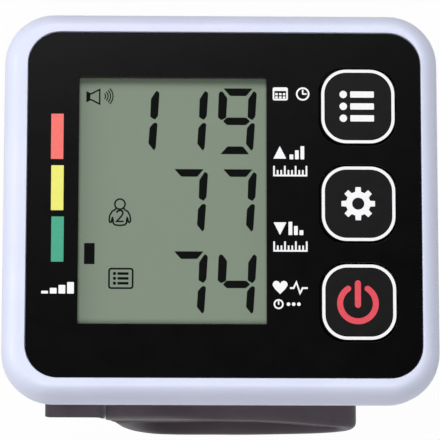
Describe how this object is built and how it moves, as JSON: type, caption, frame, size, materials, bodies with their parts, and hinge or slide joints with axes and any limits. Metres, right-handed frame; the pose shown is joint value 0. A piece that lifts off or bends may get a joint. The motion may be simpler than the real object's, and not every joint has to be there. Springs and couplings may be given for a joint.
{
  "type": "wrist blood pressure monitor",
  "caption": "Square wrist blood pressure monitor with a display, three square keys and a closed fabric cuff that opens at a fold; battery cover, pump and valve inside.",
  "frame": {"origin": "on the surface the closed cuff rests on, under the middle of the casing", "axes": "+X to the right of the display, +Y to its top, +Z out of the face"},
  "size_m": [0.0718, 0.0654, 0.055],
  "materials": {
    "casing_plastic": "pale blue-white satin moulded plastic",
    "panel_gloss": "black gloss panel",
    "window_clear": "clear window",
    "display_face": "grey-green reflective display",
    "grey_plastic": "matt grey moulded plastic",
    "dark_plastic": "matt dark moulded plastic",
    "contact_rubber": "striped conductive elastomer",
    "board": "green solder mask",
    "steel": "bright plated steel",
    "contact_brass": "plain brass",
    "cell_can": "plain printed wrap on a metal can, no lettering",
    "hose_rubber": "soft translucent silicone",
    "cuff_fabric": "dark grey brushed nylon",
    "bladder_film": "smooth dark film",
    "tape": "hook and loop tape"
  },
  "bodies": {
    "cuff_rear": {"cuff_rear_layer": "cuff_fabric", "cuff_stiffener": "grey_plastic", "closing_tab": "cuff_fabric", "hook_tape": "tape"},
    "monitor": {"front_casing": "casing_plastic", "rear_casing": "casing_plastic", "front_panel": "panel_gloss", "window_lens": "window_clear", "display_module": "display_face", "display_holder": "grey_plastic", "upper_contact_strip": "contact_rubber", "lower_contact_strip": "contact_rubber", "circuit_board": "board", "processor": "dark_plastic", "memory_chip": "dark_plastic", "buzzer": "dark_plastic", "memory_key_switch": "steel", "set_key_switch": "steel", "power_key_switch": "steel", "casing_screw_1": "steel", "casing_screw_2": "steel", "casing_screw_3": "steel", "casing_screw_4": "steel", "battery_tray": "grey_plastic", "cell_1": "cell_can", "cell_2": "cell_can", "flat_contact_1": "contact_brass", "flat_contact_2": "contact_brass", "spring_contact_1": "steel", "spring_contact_2": "steel", "motor_can": "steel", "motor_magnet": "dark_plastic", "motor_end_cap": "dark_plastic", "pump_head": "dark_plastic", "valve_body": "dark_plastic", "valve_spring": "steel", "pressure_sensor": "grey_plastic", "air_manifold": "grey_plastic", "pump_hose": "hose_rubber", "valve_hose": "hose_rubber", "sensor_hose": "hose_rubber", "cuff_hose": "hose_rubber", "cuff_plate": "dark_plastic", "cuff_front_layer": "cuff_fabric", "air_bladder": "bladder_film", "cuff_strip": "cuff_fabric", "loop_tape": "tape"},
    "memory_key": {"memory_key": "panel_gloss", "memory_key_plunger": "dark_plastic"},
    "set_key": {"set_key": "panel_gloss", "set_key_plunger": "dark_plastic"},
    "power_key": {"power_key": "panel_gloss", "power_key_plunger": "dark_plastic"},
    "battery_cover": {"battery_cover": "casing_plastic"},
    "pump_rotor": {"pump_rotor": "steel"},
    "valve_plunger": {"valve_plunger": "steel"}
  },
  "joints": [
    {"name": "cuff_fold", "type": "hinge", "parent": "cuff_rear", "child": "monitor", "pos_m": [0.0242, 0, 0.0135], "axis": [0, 1, 0], "range_deg": [0, 80]},
    {"name": "memory_key_press", "type": "slide", "parent": "monitor", "child": "memory_key", "axis": [0, 0, -1], "range_m": [0, 0.0004], "stiffness_N_per_m": 800},
    {"name": "set_key_press", "type": "slide", "parent": "monitor", "child": "set_key", "axis": [0, 0, -1], "range_m": [0, 0.0004], "stiffness_N_per_m": 800},
    {"name": "power_key_press", "type": "slide", "parent": "monitor", "child": "power_key", "axis": [0, 0, -1], "range_m": [0, 0.0004], "stiffness_N_per_m": 800},
    {"name": "battery_cover_slide", "type": "slide", "parent": "monitor", "child": "battery_cover", "axis": [-1, 0, 0], "range_m": [0, 0.016]},
    {"name": "pump_spin", "type": "hinge", "parent": "monitor", "child": "pump_rotor", "pos_m": [0.024, 0, 0.0394], "axis": [0, 1, 0], "continuous": true},
    {"name": "valve_press", "type": "slide", "parent": "monitor", "child": "valve_plunger", "axis": [0, 0, 1], "range_m": [0, 0.0008], "stiffness_N_per_m": 60, "deforming": ["valve_spring"]}
  ]
}
